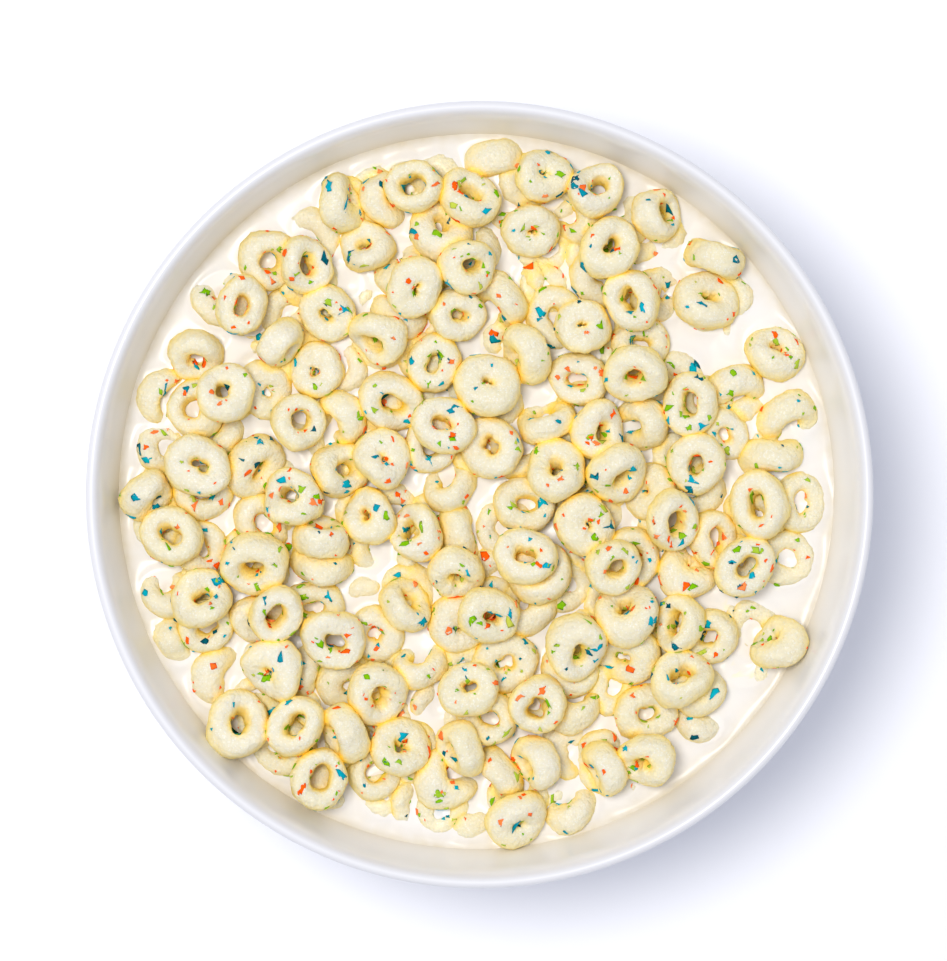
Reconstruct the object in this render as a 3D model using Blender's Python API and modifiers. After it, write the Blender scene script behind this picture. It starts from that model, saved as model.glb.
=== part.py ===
"""A bowl of ring cereal: a white glazed bowl, the milk in it and the heap of rings that floats on the milk.

Metres, +Z up. The bowl stands on the XY plane and turns about the Z axis. +Y is the top of the picture.
"""

import math
import random

import bmesh
import bpy
import numpy as np
from mathutils import Matrix, Vector

MM = 0.001

# The bowl, turned about its axis
RIM_RADIUS = 80 * MM
BOWL_HEIGHT = 66 * MM
RIM_WALL = 2.8 * MM
FOOT_WALL = 4.6 * MM
FLOOR_HEIGHT = 7 * MM
FOOT_RADIUS = 38 * MM
FOOT_WIDTH = 5 * MM
FOOT_RECESS = 3 * MM
FOOT_BEVEL = 0.8 * MM
FOOT_FILLET = 1.5 * MM
FLARE = 4 * MM
WALL_POWER = 2.2
BOWL_STEPS = 40
WALL_POINTS = 11
RIM_POINTS = 4

# The milk and the pocket in it that holds the heap's core
MILK_LEVEL = BOWL_HEIGHT - 17 * MM
GAP = 0.3 * MM
CORE_RADIUS = 69.5 * MM
CORE_DEPTH = 7 * MM
CORE_BEVEL = 4 * MM
CORE_EDGE_RISE = 0.9 * MM
CORE_MIDDLE_RISE = 2.0 * MM

# One ring of cereal, lying flat: the radius of the middle of its tube, and half the tube's width and height
RING_MIDDLE = 3.85 * MM
TUBE_HALF_WIDTH = 2.4 * MM
TUBE_HALF_HEIGHT = 3.2 * MM
RING_SIZES = (0.90, 1.10)
RING_SIDES = 7
TUBE_SIDES = 5

# Where the middles of the rings start, above the milk: those that float, those that rest on them and those on
# top. A ring that stands on edge starts lower, because its foot drops between the others
STARTS = {1: -0.8 * MM, 2: 2.2 * MM, 3: 5.4 * MM}
EDGE_DROP = 3 * MM
FLOATING_RINGS = 84
FLOATING_REACH = 68 * MM
FLOATING_DEPTHS = (-0.6 * MM, 1.8 * MM)
FLOATING_LEANS = (0, 32, 6)
TRIES = 300
SEED = 11

# The rings that lie on the others or show best, by eye: x and y in millimetres from the bowl's middle, the
# layer, the heading that the open face leans towards, anticlockwise from +X, and the lean from lying flat, in
# degrees
SHOWN_RINGS = (
    (-42, 48, 2, -30, 15), (-35, 44.5, 3, 0, 28), (-48.5, 38, 3, 90, 25), (-53, 41.5, 2, 135, 30),
    (-32, 39, 2, -60, 10), (-27.5, 58.5, 3, 12, 62), (-57, 27.5, 2, -90, 35), (-40, 28, 3, -35, 62),
    (-19.5, 59.5, 2, 0, 45), (-12.5, 62.5, 3, 140, 18), (-3, 60, 2, 60, 20), (-6.5, 53, 2, 90, 12),
    (-3, 47.5, 3, 10, 26), (-11.5, 41.5, 3, 0, 10), (-15.5, 45, 2, 120, 15), (-20, 32.5, 3, 215, 40),
    (-17.5, 37, 2, 60, 66), (-8, 28, 2, 90, 12), (4.5, 38.5, 2, -90, 38), (10, 29.5, 3, 185, 72),
    (0.5, 22.5, 3, 60, 15), (11.5, 54, 2, -90, 15), (12, 65, 3, 40, 25), (5, 67, 2, -60, 52),
    (24, 62, 3, 90, 24), (21.5, 34.5, 3, 90, 12), (26.5, 51, 3, 90, 15), (35.5, 57, 3, 22, 58),
    (49.5, 47, 3, 50, 78), (48.5, 43, 2, 90, 18), (31, 40, 3, 150, 18), (37.5, 39, 2, 0, 25),
    (55.5, 33, 1, 0, 5), (33.5, 23.5, 3, 205, 28), (64.5, 23, 1, 15, 58), (34, 30, 2, 60, 20),
    (-64.5, 19.5, 2, -30, 48), (-51.5, 20.5, 3, 90, 20), (-56, 6.5, 3, 30, 6), (-67, 1.5, 3, -35, 58),
    (-57, -1, 2, -60, 15), (-62.5, -8, 3, 90, 20), (-45, 5.5, 2, -20, 38), (-39, -1.5, 3, 160, 30),
    (-37.5, 17.5, 2, 60, 15), (-28, 16, 2, 205, 34), (-29, 5, 2, 0, 20), (-20.5, 7, 3, 90, 24),
    (-22.5, -5, 3, 155, 24), (-33, -9, 3, 80, 62), (-33.5, -15.5, 2, -100, 76), (-46, -15, 3, 200, 14),
    (-57.5, -20.5, 3, 90, 28), (-18, 18.5, 2, -30, 30), (-6, 13.5, 3, 20, 10), (-9, 9.5, 2, -90, 14),
    (2.5, 11, 2, 0, 6), (16, 7.5, 3, 115, 28), (13.5, 13, 2, 120, 48), (9.5, 0, 2, 45, 10),
    (-13, -8.5, 3, 155, 36), (-3.5, -8, 2, 0, 58), (-4.5, -17.5, 3, -90, 48), (10, -13, 3, 100, 14),
    (12.5, -17, 2, -60, 14), (-14, -21.5, 2, 40, 48), (23.5, -7, 3, 20, 12), (25.5, 13, 3, 20, 34),
    (43.5, 19, 3, 180, 34), (54, 20.5, 2, -60, 58), (33.5, 14, 2, 225, 52), (59.5, 6.5, 2, -90, 58),
    (45, 6, 3, 220, 25), (29, 3.5, 3, -55, 42), (35, 0.5, 2, 150, 20), (58, -2.5, 3, 145, 24),
    (40.5, -6, 3, -10, 26), (46, -8, 2, 0, 24), (54, -15, 3, 140, 20), (64.5, 13, 1, 30, 10),
    (28.5, -16, 3, -70, 38), (33, -14.5, 2, -40, 15), (42.5, -19, 2, 55, 60), (64.5, -11, 1, 0, 8),
    (-63, -28.5, 2, 30, 62), (-42, -23.5, 3, -90, 34), (-46.5, -26.5, 2, -90, 20), (-55, -38.5, 2, 0, 74),
    (-41, -35.5, 3, -110, 32), (-35, -36.5, 2, 0, 50), (-29.5, -29.5, 3, 180, 15), (-48.5, -46.5, 3, 80, 30),
    (-40, -47.5, 3, 180, 30), (-26, -48.5, 3, 190, 66), (-33.5, -58, 3, 30, 8), (-29, -59.5, 2, 0, 22),
    (-20.5, -41.5, 3, -50, 34), (2.5, -25, 3, -50, 32), (-3.5, -29, 2, -110, 24), (-1.5, -40, 3, 180, 6),
    (-12, -33.5, 2, 100, 48), (-9, -45, 1, 0, 8), (-16.5, -52.5, 2, 90, 18), (-1.5, -53, 3, 190, 64),
    (-7, -59, 2, 35, 44), (5, -59.5, 2, 205, 52), (10.5, -56, 3, 220, 52), (16, -65.5, 2, 110, 46),
    (11, -43.5, 3, 180, 10), (22.5, -31.5, 3, -80, 40), (22.5, -44.5, 2, 55, 44), (27.5, -56, 3, 205, 64),
    (18, -52.5, 1, 0, 10), (-2.5, -66.5, 1, 90, 42), (30.5, -24.5, 3, 90, 26), (40.5, -27.5, 2, 200, 20),
    (41, -37.5, 3, 60, 48), (44.5, -46.5, 1, 0, 6), (53, -36, 1, 90, 10), (61.5, -32, 3, 145, 62),
    (54.5, -24.5, 1, 90, 14), (33.5, -53.5, 3, 185, 22),
)

# Spots where open milk shows between the rings: x, y and radius, in millimetres
OPEN_MILK = (
    (-43, 58, 6), (-62, 34, 5), (-28, 33, 3), (-5, 69, 4), (2, 71, 3), (15, 27, 3), (40, 48, 6),
    (45, 33, 4), (50, 27, 3), (60, 42, 5), (-14, 2, 4), (1, -5, 3), (-68, -14, 5), (-48, -1, 3),
    (-62, -38, 5), (-50, -33, 4), (-15, -37, 3), (-30, -44, 3), (20, -24, 3), (18, -14, 3), (47, -16, 3),
    (68, -20, 5), (58, -45, 7), (50, -55, 6), (20, -60, 3), (-7, -52, 3), (38, -62, 5), (12, -35, 3),
    (52, -5, 3), (69, 8, 3), (-15, 52, 3), (-48, 50, 3),
)

# How the heap settles, in steps of small moves
SETTLE_STEPS = 260
BEADS_ROUND = 8
BEAD_RADIUS = 2.35 * MM
BEAD_RISE = 0.75 * MM
SINK_STEP = 0.05 * MM
WALL_CLEARANCE = 0.5 * MM
PUSH_SHARE = 1.6
HOME_PULL = 0.05
HOME_STEPS = 0.9 * SETTLE_STEPS

# What makes the rings fuse: the settled heap is pressed to a share of its height over the milk. A ring whose
# middle is lower over the milk than LOWEST, or that would have to rise further than HIGHEST_RISE, is left out
PRESSED = 0.78
LOWEST = 0.7 * MM
HIGHEST_RISE = 4.5 * MM

BOWL_COLOUR = (0.86, 0.86, 0.88, 1)
MILK_COLOUR = (0.95, 0.93, 0.90, 1)
CEREAL_COLOUR = (0.86, 0.74, 0.44, 1)


def clear_scene():
    for obj in list(bpy.data.objects):
        bpy.data.objects.remove(obj)


def new_collection(name):
    collection = bpy.data.collections.new(name)
    bpy.context.scene.collection.children.link(collection)
    return collection


def material(name, colour, roughness):
    made = bpy.data.materials.new(name)
    made.use_nodes = True
    shader = made.node_tree.nodes["Principled BSDF"]
    shader.inputs["Base Color"].default_value = colour
    shader.inputs["Roughness"].default_value = roughness
    shader.inputs["Metallic"].default_value = 0
    return made


def turned(name, profile, steps, collection, finish):
    """A closed solid turned about Z from a profile of (radius, height) that starts and ends on the axis."""
    mesh = bpy.data.meshes.new(name)
    mesh.from_pydata([(r, 0, z) for r, z in profile], [(i, i + 1) for i in range(len(profile) - 1)], [])
    obj = bpy.data.objects.new(name, mesh)
    collection.objects.link(obj)
    screw = obj.modifiers.new("turn", "SCREW")
    screw.steps = screw.render_steps = steps
    screw.use_merge_vertices = True
    screw.merge_threshold = 0.00001
    mesh.materials.append(finish)
    return obj


def inner_radius(height):
    """The radius of the bowl's inside at a height: a round bottom that runs into a steep, flared wall."""
    share = (height - FLOOR_HEIGHT) / (BOWL_HEIGHT - FLOOR_HEIGHT)
    share = min(max(share, 0), 1)
    inner_rim = RIM_RADIUS - RIM_WALL
    return (inner_rim - FLARE) * math.sqrt(1 - (1 - share) ** WALL_POWER) + FLARE * share


def inner_wall():
    """(radius, height) up the inside of the bowl, closer together near the bottom, where it turns most."""
    top = BOWL_HEIGHT - RIM_WALL / 2
    heights = [FLOOR_HEIGHT + (top - FLOOR_HEIGHT) * (i / (WALL_POINTS - 1)) ** 2 for i in range(WALL_POINTS)]
    return [(inner_radius(height), height) for height in heights]


def bowl(collection):
    """The bowl: foot ring, outer wall, rounded rim and inside, as one turned solid."""
    inside = inner_wall()
    outside = []
    for before, (radius, height), after in zip(inside, inside[1:], inside[2:]):
        up = (height - FLOOR_HEIGHT) / (BOWL_HEIGHT - FLOOR_HEIGHT)
        wall = FOOT_WALL + (RIM_WALL - FOOT_WALL) * up
        slope = math.atan2(after[1] - before[1], after[0] - before[0])
        outside.append((radius + wall * math.sin(slope), height - wall * math.cos(slope)))
    foot_top = FOOT_RADIUS + FOOT_FILLET
    radii, heights = zip(*outside)
    outside = [(radius, height) for radius, height in outside if radius > foot_top + MM]
    outside.insert(0, (foot_top, float(np.interp(foot_top, radii, heights))))
    outside.append((RIM_RADIUS, BOWL_HEIGHT - RIM_WALL / 2))
    rim_middle = RIM_RADIUS - RIM_WALL / 2
    rim = []
    for i in range(1, RIM_POINTS):
        angle = math.pi * i / RIM_POINTS
        rim.append((
            rim_middle + RIM_WALL / 2 * math.cos(angle),
            BOWL_HEIGHT - RIM_WALL / 2 + RIM_WALL / 2 * math.sin(angle),
        ))
    foot_inside = FOOT_RADIUS - FOOT_WIDTH
    foot = [
        (FOOT_RADIUS + FOOT_FILLET / 5, outside[0][1] - FOOT_FILLET),
        (FOOT_RADIUS, FOOT_BEVEL),
        (FOOT_RADIUS - FOOT_BEVEL, 0),
        (foot_inside + FOOT_BEVEL, 0),
        (foot_inside, FOOT_BEVEL),
        (foot_inside - FOOT_BEVEL, FOOT_RECESS),
        (0, FOOT_RECESS),
    ]
    down_the_inside = [(0, FLOOR_HEIGHT)] + inside[1:]
    profile = down_the_inside + rim[::-1] + outside[::-1] + foot
    return turned("bowl", profile, BOWL_STEPS, collection, material("white_glaze", BOWL_COLOUR, 0.12))


def milk(collection):
    """The milk: it fills the bowl to its level, with a pocket that the core of the heap sits in."""
    pocket_radius = CORE_RADIUS + GAP
    pocket_floor = MILK_LEVEL - CORE_DEPTH - GAP
    inside = inner_wall()
    wall = [(radius - GAP, height + GAP) for radius, height in inside[1:] if height < MILK_LEVEL - MM]
    radii, heights = zip(*inside)
    edge = float(np.interp(MILK_LEVEL, heights, radii)) - GAP
    profile = [
        (0, pocket_floor),
        (pocket_radius - CORE_BEVEL, pocket_floor),
        (pocket_radius, pocket_floor + CORE_BEVEL),
        (pocket_radius, MILK_LEVEL),
    ]
    profile += [(edge, MILK_LEVEL)] + wall[::-1] + [(0, FLOOR_HEIGHT + GAP)]
    return turned("milk", profile, BOWL_STEPS, collection, material("whole_milk", MILK_COLOUR, 0.15))


def core(collection):
    """The hidden middle of the heap: a low cake in the milk's pocket that carries the rings."""
    floor = MILK_LEVEL - CORE_DEPTH
    profile = [
        (0, MILK_LEVEL + CORE_MIDDLE_RISE),
        (CORE_RADIUS * 0.45, MILK_LEVEL + CORE_MIDDLE_RISE * 0.9 + CORE_EDGE_RISE * 0.1),
        (CORE_RADIUS * 0.8, MILK_LEVEL + (CORE_MIDDLE_RISE + CORE_EDGE_RISE) / 2),
        (CORE_RADIUS - 1.5 * MM, MILK_LEVEL + CORE_EDGE_RISE),
        (CORE_RADIUS, MILK_LEVEL + CORE_EDGE_RISE / 2),
        (CORE_RADIUS, floor + CORE_BEVEL),
        (CORE_RADIUS - CORE_BEVEL, floor),
        (0, floor),
    ]
    return turned("cereal", profile, BOWL_STEPS, collection, material("cereal", CEREAL_COLOUR, 0.7))


def turn_to(heading, lean):
    """The rotation that leans a flat ring by an angle towards a heading."""
    return np.array(Matrix.Rotation(heading, 3, "Z") @ Matrix.Rotation(lean, 3, "Y"))


def starting_rings():
    """(middles, rotations, sizes) of the rings before they settle: the shown ones, then the floating ones."""
    draw = random.Random(SEED)
    middles, turns = [], []
    for x, y, layer, heading, lean in SHOWN_RINGS:
        drop = EDGE_DROP * math.sin(math.radians(lean))
        middles.append((x * MM, y * MM, MILK_LEVEL + STARTS[layer] - drop))
        turns.append(turn_to(math.radians(heading), math.radians(lean)))
    open_milk = [((x * MM, y * MM), radius * MM + RING_MIDDLE) for x, y, radius in OPEN_MILK]
    for _ in range(FLOATING_RINGS):
        best, best_room = None, 0
        for _ in range(TRIES):
            radius = FLOATING_REACH * math.sqrt(draw.random())
            angle = draw.uniform(0, math.tau)
            spot = (radius * math.cos(angle), radius * math.sin(angle))
            room = min(math.dist(spot, middle[:2]) for middle in middles)
            if room > best_room and all(math.dist(spot, place) > reach for place, reach in open_milk):
                best, best_room = spot, room
        middles.append((*best, MILK_LEVEL - draw.uniform(*FLOATING_DEPTHS)))
        turns.append(turn_to(draw.uniform(0, math.tau), math.radians(draw.triangular(*FLOATING_LEANS))))
    sizes = [draw.uniform(*RING_SIZES) for _ in middles]
    return np.array(middles), np.array(turns), np.array(sizes)


def beads():
    """Points round a flat ring, in two layers, that stand for its tube."""
    angles = np.arange(BEADS_ROUND) * math.tau / BEADS_ROUND
    rise = np.full(BEADS_ROUND, BEAD_RISE)
    layer = np.stack([RING_MIDDLE * np.cos(angles), RING_MIDDLE * np.sin(angles), rise], -1)
    return np.concatenate([layer, layer * (1, 1, -1)])


def settle(middles, turns, sizes):
    """Parts the rings, keeps them off the wall and lets a loose one sink until something carries it."""
    home, home_turns = middles.copy(), turns.copy()
    ring_beads = beads() * sizes[:, None, None]
    radii = BEAD_RADIUS * sizes
    reach = 2 * (RING_MIDDLE + BEAD_RADIUS) * sizes.max()
    heights = np.linspace(FLOOR_HEIGHT, BOWL_HEIGHT, 200)
    wall = np.array([inner_radius(h) for h in heights])
    for step in range(SETTLE_STEPS):
        arms = ring_beads @ turns.transpose(0, 2, 1)
        spots = middles[:, None] + arms
        between = np.linalg.norm(middles[:, None] - middles[None], axis=-1)
        first, second = np.nonzero(np.triu(between < reach, 1))
        apart = spots[first][:, :, None] - spots[second][:, None]
        distance = np.linalg.norm(apart, axis=-1) + 1e-9
        depth = np.maximum((radii[first] + radii[second])[:, None, None] - distance, 0)
        push = apart * (depth / distance / 2)[..., None]
        pushes = np.zeros_like(spots)
        touches = np.zeros(spots.shape[:2])
        np.add.at(pushes, first, push.sum(2))
        np.add.at(pushes, second, -push.sum(1))
        np.add.at(touches, first, (depth > 0).sum(2))
        np.add.at(touches, second, (depth > 0).sum(1))
        outward = np.linalg.norm(spots[..., :2], axis=-1)
        room = np.interp(spots[..., 2], heights, wall) - WALL_CLEARANCE - radii[:, None]
        over = np.maximum(outward - room, 0)
        pushes[..., :2] -= spots[..., :2] * (over / outward)[..., None]
        touches += over > 0
        count = np.maximum(touches.sum(1), 1)[:, None]
        twist = np.cross(arms, pushes).sum(1) / count / (RING_MIDDLE**2)
        middles = middles + pushes.sum(1) / count * PUSH_SHARE
        loose = (touches.sum(1) == 0) & (middles[:, 2] > MILK_LEVEL)
        home[loose, 2] -= SINK_STEP
        if step < HOME_STEPS:
            middles = middles + (home - middles) * HOME_PULL
            turns = turns + (home_turns - turns) * HOME_PULL
        turns = turns + np.cross(twist[:, None], turns.transpose(0, 2, 1)).transpose(0, 2, 1)
        left, _, right = np.linalg.svd(turns)
        turns = left @ right
    return middles, turns


def ring_mesh(finish):
    """One ring of few sides, lying flat round the origin: a torus drawn out to the oval tube."""
    bpy.ops.mesh.primitive_torus_add(
        major_segments=RING_SIDES,
        minor_segments=TUBE_SIDES,
        major_radius=RING_MIDDLE,
        minor_radius=TUBE_HALF_WIDTH,
    )
    made = bpy.context.object
    mesh = made.data
    bpy.data.objects.remove(made)
    mesh.transform(Matrix.Diagonal((1, 1, TUBE_HALF_HEIGHT / TUBE_HALF_WIDTH, 1)))
    mesh.materials.append(finish)
    return mesh


def clear_of_milk(place, mesh):
    """How far a ring has to rise so that what reaches past the core stays above the milk."""
    points = [place @ vert.co for vert in mesh.vertices]
    longest_edge = 2 * (RING_MIDDLE + TUBE_HALF_WIDTH) * math.sin(math.pi / RING_SIDES)
    outside = [p.z for p in points if math.hypot(p.x, p.y) > CORE_RADIUS - longest_edge]
    return max(0, MILK_LEVEL + 1.5 * GAP - min(outside, default=BOWL_HEIGHT))


def largest_body(obj):
    """Deletes whatever the union left loose from the heap."""
    mesh = bmesh.new()
    mesh.from_mesh(obj.data)
    bodies, seen = [], set()
    for start in mesh.verts:
        if start in seen:
            continue
        body, queue = {start}, [start]
        while queue:
            for edge in queue.pop().link_edges:
                for vert in edge.verts:
                    if vert not in body:
                        body.add(vert)
                        queue.append(vert)
        seen |= body
        bodies.append(body)
    keep = max(bodies, key=len)
    bmesh.ops.delete(mesh, geom=[v for v in mesh.verts if v not in keep], context="VERTS")
    mesh.to_mesh(obj.data)
    mesh.free()


def heap(collection):
    """The cereal: the core with the rings that show fused on."""
    obj = core(collection)
    bpy.context.view_layer.update()
    flat = ring_mesh(obj.data.materials[0])
    pieces = new_collection("ring_pieces")
    middles, turns, sizes = starting_rings()
    middles, turns = settle(middles, turns, sizes)
    middles[:, 2] = MILK_LEVEL + (middles[:, 2] - MILK_LEVEL) * PRESSED
    for i, (middle, turn, size) in enumerate(zip(middles, turns, sizes)):
        place = Matrix.Translation(Vector(middle)) @ Matrix(turn).to_4x4() @ Matrix.Scale(size, 4)
        rise = clear_of_milk(place, flat)
        if rise > HIGHEST_RISE or middle[2] + rise < MILK_LEVEL + LOWEST:
            continue
        piece = bpy.data.objects.new(f"ring_{i}", flat)
        piece.matrix_world = Matrix.Translation((0, 0, rise)) @ place
        pieces.objects.link(piece)
    union = obj.modifiers.new("rings", "BOOLEAN")
    union.operation = "UNION"
    union.operand_type = "COLLECTION"
    union.collection = pieces
    union.solver = "MANIFOLD"
    joined = bpy.data.meshes.new_from_object(obj.evaluated_get(bpy.context.evaluated_depsgraph_get()))
    obj.modifiers.clear()
    obj.data = joined
    for piece in list(pieces.objects):
        bpy.data.objects.remove(piece)
    bpy.data.collections.remove(pieces)
    largest_body(obj)
    return obj


clear_scene()
whole = new_collection("bowl_of_cereal")
bowl(whole)
milk(whole)
heap(whole)
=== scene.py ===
import math
import random

import bpy
import numpy as np
from mathutils import Matrix, Vector
from mathutils.bvhtree import BVHTree


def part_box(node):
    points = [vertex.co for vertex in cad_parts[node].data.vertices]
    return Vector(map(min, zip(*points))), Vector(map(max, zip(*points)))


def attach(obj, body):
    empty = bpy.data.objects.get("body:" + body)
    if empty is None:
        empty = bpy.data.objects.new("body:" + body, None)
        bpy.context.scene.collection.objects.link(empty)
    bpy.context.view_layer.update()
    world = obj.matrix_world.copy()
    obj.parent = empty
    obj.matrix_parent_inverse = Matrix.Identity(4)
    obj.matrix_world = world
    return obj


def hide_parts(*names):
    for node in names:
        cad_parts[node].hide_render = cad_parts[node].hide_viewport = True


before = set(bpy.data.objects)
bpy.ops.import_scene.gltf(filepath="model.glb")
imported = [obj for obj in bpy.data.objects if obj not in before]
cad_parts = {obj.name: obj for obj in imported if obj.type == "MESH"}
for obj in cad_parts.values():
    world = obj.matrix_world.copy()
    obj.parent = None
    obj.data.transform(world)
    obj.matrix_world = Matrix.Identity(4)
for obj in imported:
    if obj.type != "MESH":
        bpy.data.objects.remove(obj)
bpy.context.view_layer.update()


# The bowl. A turned cereal bowl of white stoneware with a steep wall, a rounded lip and a foot ring. It
# is dipped in clear gloss glaze and fired standing on its foot, whose flat is wiped bare of glaze. The
# milk leaves a film of grain on the wall where it meets it, and there the wall also carries a painted
# shade and a painted reflection of the cereal, darker and golden.

MM = 0.001
BOWL_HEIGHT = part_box("bowl")[1].z
RIM_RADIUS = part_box("bowl")[1].x
MILK_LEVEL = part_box("milk")[1].z
RIM_WALL = 2.8 * MM
FOOT_WALL = 4.6 * MM
FLOOR_HEIGHT = 7 * MM
FLARE = 4 * MM
WALL_POWER = 2.2
WALL_STEPS = 72
WALL_CROWDING = 1.8
BOWL_STEPS = 224

# The lip: its outside is rounded, and its inside thickens a little and rolls over
LIP_ROUND = 1.2 * MM
LIP_ROLL_DEPTH = 6.0 * MM
LIP_THICKER = 0.7 * MM
LIP_THICKER_DEPTH = 8.0 * MM
LIP_STEPS = 12

# The foot: a ring with rounded edges round a recess, whose own edge is given by how far in and how far
# under its ceiling the points lie
FOOT_RADIUS = 38 * MM
FOOT_WIDTH = 5 * MM
FOOT_RECESS = 3 * MM
FOOT_EDGE = 0.9 * MM
FOOT_EDGE_STEPS = 5
RECESS_EDGE = ((0.8 * MM, 0.6 * MM), (2 * MM, 0))

# The crook between the wall and the foot: where the wall ends outside the foot, then how far the crook
# starts out of that and under it, and how far it runs in and down
FOOT_FLARE = 2.2 * MM
CROOK_START = (0.2 * MM, 0.4 * MM)
CROOK_RUN = (1.6 * MM, 2.4 * MM)
CROOK_STEPS = 6

# Heights: over the foot's flat where the glaze starts, and under the lip where it thins
GLAZE_STARTS = (0.3 * MM, 0.7 * MM)
GLAZE_THINS = (2.4 * MM, 0.4 * MM)

# The film of milk on the inside of the wall, together with the painted shade and painted reflection of the
# cereal there, which is found by its distance from the inner radius, and how far over and under the milk it
# fades
WALL_SKIN = 0.5 * MM
SPLASH_AND_SHADE_HEIGHT = 3.0 * MM

# The glaze in its full depth, over the lip, and under the milk's film with its painted shade and painted
# reflection of the cereal, and the clay under it
GLAZE_WHITE = (0.862, 0.868, 0.898, 1)
GLAZE_THIN = (0.725, 0.730, 0.755, 1)
GLAZE_MILK_FILM_AND_SHADE = (0.640, 0.550, 0.390, 1)
BARE_CLAY = (0.62, 0.56, 0.48, 1)


class Signal:
    """A socket of a material's nodes. Arithmetic on it adds Math nodes, and node() adds any other node."""

    def __init__(self, socket):
        self.socket = socket
        self.tree = socket.id_data

    def node(self, kind, settings, sockets, output=0):
        """A node of a type, with its settings first, then the values or links of its sockets."""
        made = self.tree.nodes.new(kind)
        for name, value in settings.items():
            setattr(made, name, value)
        for name, value in sockets.items():
            if isinstance(value, Signal):
                self.tree.links.new(value.socket, made.inputs[name])
            else:
                made.inputs[name].default_value = value
        return Signal(made.outputs[output])

    def maths(self, operation, *values, clamp=False):
        settings = {"operation": operation, "use_clamp": clamp}
        return self.node("ShaderNodeMath", settings, dict(enumerate(values)))

    def __add__(self, other):
        return self.maths("ADD", self, other)

    def __sub__(self, other):
        return self.maths("SUBTRACT", self, other)

    def __mul__(self, other):
        return self.maths("MULTIPLY", self, other)

    def __rsub__(self, other):
        return self.maths("SUBTRACT", other, self)

    __radd__ = __add__
    __rmul__ = __mul__

    def held(self):
        """The value kept between 0 and 1."""
        return self.maths("ADD", self, 0.0, clamp=True)

    def ease(self, low, high):
        """0 below low, 1 above high, and smooth between them."""
        limits = {"From Min": low, "From Max": high, "Value": self}
        return self.node("ShaderNodeMapRange", {"interpolation_type": "SMOOTHSTEP"}, limits)

    def mix(self, without, having):
        """The colour without it where the value is 0, and having it where the value is 1."""
        return self.node("ShaderNodeMix", {"data_type": "RGBA"}, {0: self, 6: without, 7: having}, output=2)

    def noise(self, size, detail=2.0, roughness=0.5):
        """Cloudy noise from 0 to 1 whose blobs have a size in metres. The signal is the place."""
        sockets = {"Vector": self, "Scale": 1 / size, "Detail": detail, "Roughness": roughness}
        return self.node("ShaderNodeTexNoise", {}, sockets)

    def bump(self, depth):
        """A normal from a height of 0 to 1 over a depth in metres."""
        return self.node("ShaderNodeBump", {}, {"Height": self, "Distance": depth})


def finish(name, constants):
    """A new material with what is the same all over it: the material, the place and how to wire to its
    shader."""
    made = bpy.data.materials.new(name)
    made.use_nodes = True
    shader = made.node_tree.nodes["Principled BSDF"]
    shader.subsurface_method = "BURLEY"
    for socket, value in constants.items():
        shader.inputs[socket].default_value = value
    place = Signal(made.node_tree.nodes.new("ShaderNodeTexCoord").outputs["Object"])

    def wire(**signals):
        for socket, signal in signals.items():
            made.node_tree.links.new(signal.socket, shader.inputs[socket.replace("_", " ")])

    return made, place, wire


def attribute(place, name):
    """A number that the mesh holds at each of its points."""
    return place.node("ShaderNodeAttribute", {"attribute_name": name}, {}, output=2)


def new_piece(name, points, faces, material, numbers=()):
    """A smooth mesh object from arrays of points and faces, with named numbers on its points."""
    mesh = bpy.data.meshes.new(name)
    mesh.from_pydata(points, [], faces)
    for label, values in numbers:
        mesh.attributes.new(label, "FLOAT", "POINT").data.foreach_set("value", np.asarray(values, np.float32))
    mesh.materials.append(material)
    mesh.shade_smooth()
    made = bpy.data.objects.new(name, mesh)
    bpy.context.scene.collection.objects.link(made)
    return made


def lathe(profile, steps):
    """Points and faces of a closed form turned from (radius, height) pairs, which start and end on the
    axis."""
    body = np.array(profile[1:-1])
    angles = np.arange(steps) * math.tau / steps
    rings = np.stack([
        body[:, :1] * np.cos(angles),
        body[:, :1] * np.sin(angles),
        np.repeat(body[:, 1:], steps, axis=1),
    ], axis=-1).reshape(-1, 3)
    points = np.vstack([rings, [[0, 0, profile[0][1]], [0, 0, profile[-1][1]]]])
    first, last = len(points) - 2, len(points) - 1
    faces = []
    for row in range(len(body) - 1):
        for step in range(steps):
            after = (step + 1) % steps
            low, high = row * steps, (row + 1) * steps
            faces.append((low + step, high + step, high + after, low + after))
    edge = (len(body) - 1) * steps
    for step in range(steps):
        after = (step + 1) % steps
        faces.append((first, step, after))
        faces.append((last, edge + after, edge + step))
    return points, faces


def inner_radius(height):
    """The radius of the bowl's inside at a height, or at an array of heights."""
    share = np.clip((height - FLOOR_HEIGHT) / (BOWL_HEIGHT - FLOOR_HEIGHT), 0, 1)
    span = RIM_RADIUS - RIM_WALL - FLARE
    return span * np.sqrt(1 - (1 - share) ** WALL_POWER) + FLARE * share


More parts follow.
